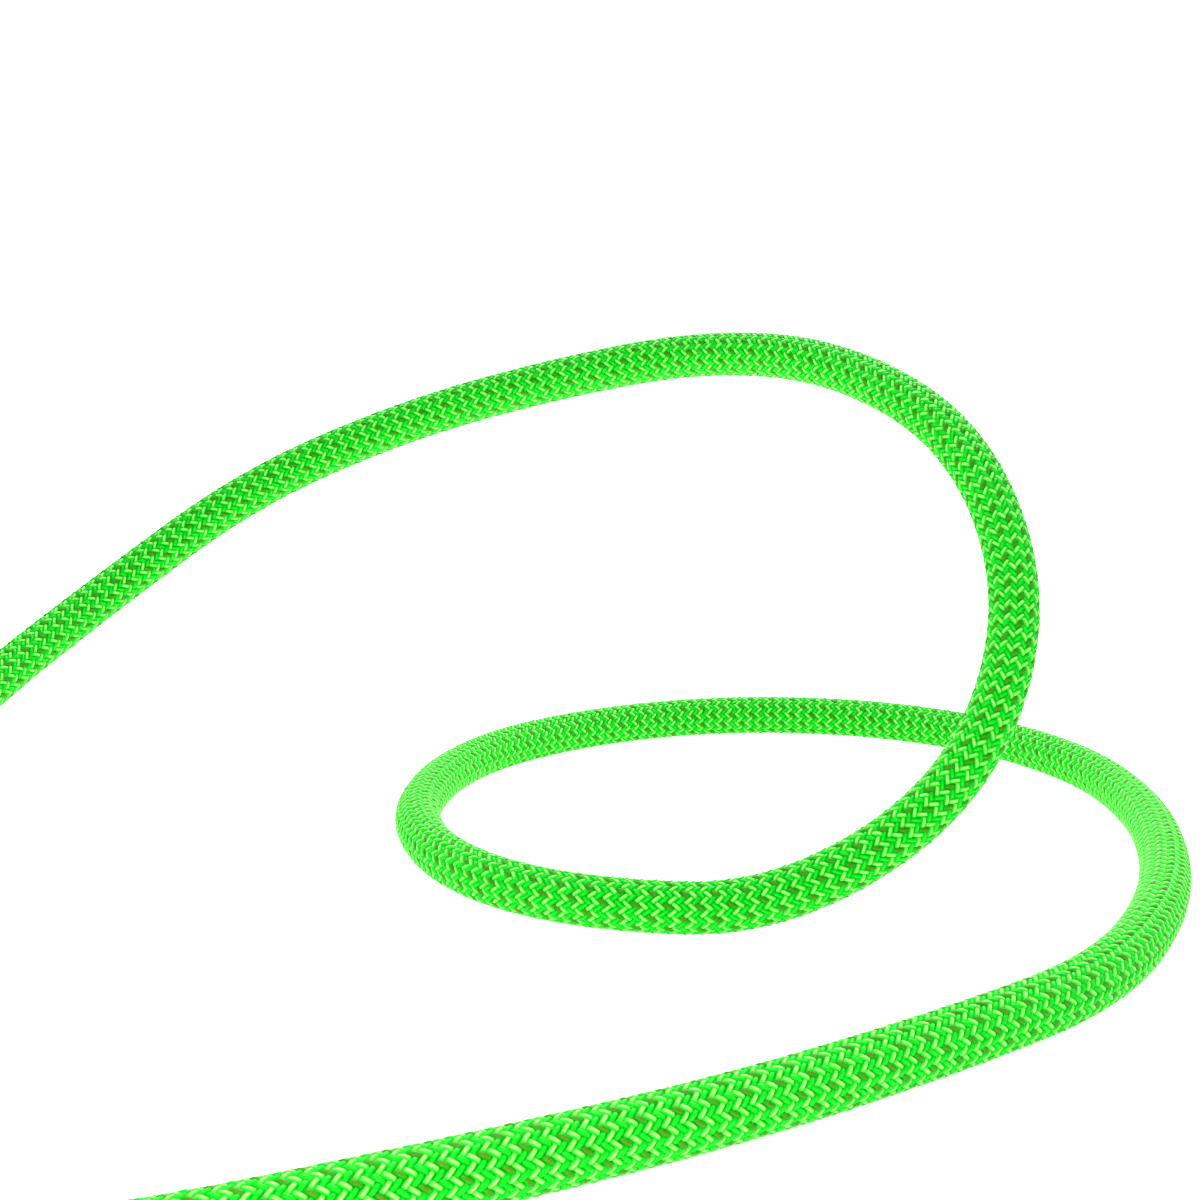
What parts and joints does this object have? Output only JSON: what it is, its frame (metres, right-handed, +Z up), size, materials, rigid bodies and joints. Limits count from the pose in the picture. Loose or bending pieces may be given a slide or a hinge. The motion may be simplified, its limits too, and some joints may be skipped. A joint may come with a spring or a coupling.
{
  "type": "dynamic climbing rope",
  "caption": "Dynamic climbing rope with a braided two-green sheath: a loose bight that arches over the floor, the rest put away in a flat round coil held by webbing ties.",
  "frame": {"origin": "on the floor, at the middle of the whole rope's footprint", "axes": "+Z up; +X from the tied coil towards the loose bight; +Y towards the back of the bight"},
  "size_m": [0.6014, 0.3273, 0.105],
  "materials": {
    "sheath": "tight polyamide braid, light and dark green yarns, slightly glossy",
    "core": "raw white cabled polyamide",
    "marker_tape": "thin plain film",
    "end_band": "smooth shrunk-on sleeve, plain",
    "fused_tip": "melted and pressed sheath and core",
    "tie_webbing": "flat woven webbing",
    "tie_pad": "hook-and-loop pad"
  },
  "bodies": {
    "root": {"sheath_loose": "sheath", "core_strand_1": "core", "core_strand_2": "core", "core_strand_3": "core", "core_strand_4": "core", "core_strand_5": "core", "core_strand_6": "core", "core_strand_7": "core", "core_strand_8": "core", "core_strand_centre": "core", "marker_tape": "marker_tape", "end_band_a": "end_band", "fused_tip_a": "fused_tip", "coil": "sheath", "sheath_tail": "sheath", "core_tail": "core", "end_band_b": "end_band", "fused_tip_b": "fused_tip", "tie_strap_1": "tie_webbing", "tie_pad_1": "tie_pad", "tie_strap_2": "tie_webbing", "tie_pad_2": "tie_pad", "tie_strap_3": "tie_webbing", "tie_pad_3": "tie_pad"}
  },
  "joints": []
}
